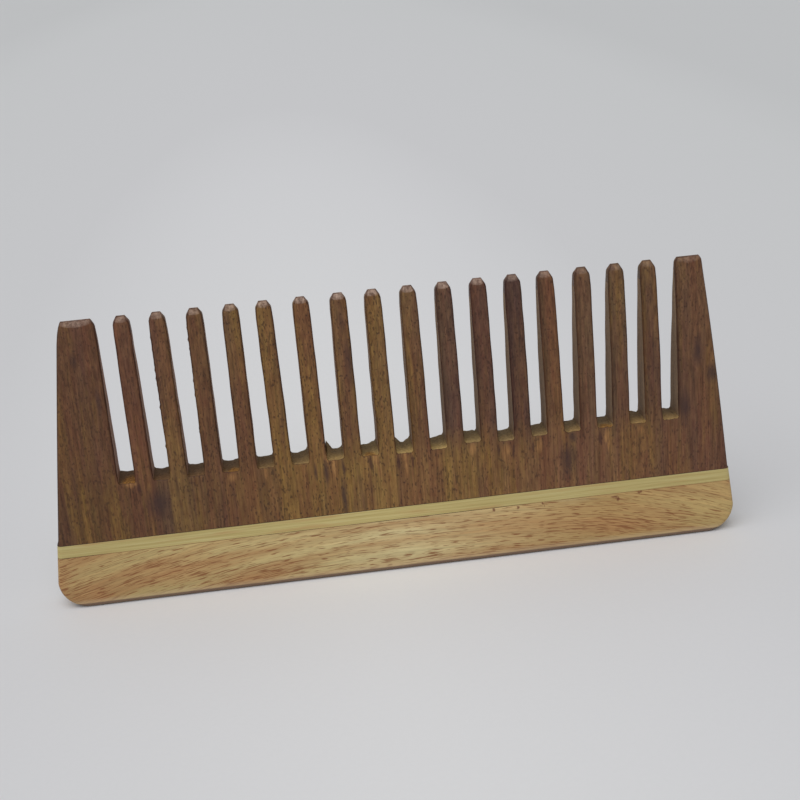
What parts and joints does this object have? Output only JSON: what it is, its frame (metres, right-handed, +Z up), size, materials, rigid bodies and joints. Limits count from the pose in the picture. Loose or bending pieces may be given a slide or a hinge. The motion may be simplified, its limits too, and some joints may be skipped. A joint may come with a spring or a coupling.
{
  "type": "wide tooth comb",
  "caption": "Wooden wide tooth comb: dark tapered teeth between two end guards, on a glued base of a thin pale strip and a tan spine.",
  "frame": {"origin": "middle of the spine's long resting face, which is the comb's underside when its teeth point up", "axes": "+X along the comb towards the narrower end guard, +Y through its thickness towards the back, +Z up along the teeth"},
  "size_m": [0.193, 0.0094, 0.0822],
  "materials": {
    "dark_wood": "satin oiled, grain along the teeth",
    "accent_wood": "satin oiled, grain along the comb",
    "spine_wood": "satin oiled, grain along the comb, short flecks",
    "glue": "cured wood glue"
  },
  "bodies": {
    "root": {"tooth_blade": "dark_wood", "blade_glue_line": "glue", "accent_strip": "accent_wood", "spine_glue_line": "glue", "spine": "spine_wood"}
  },
  "joints": []
}
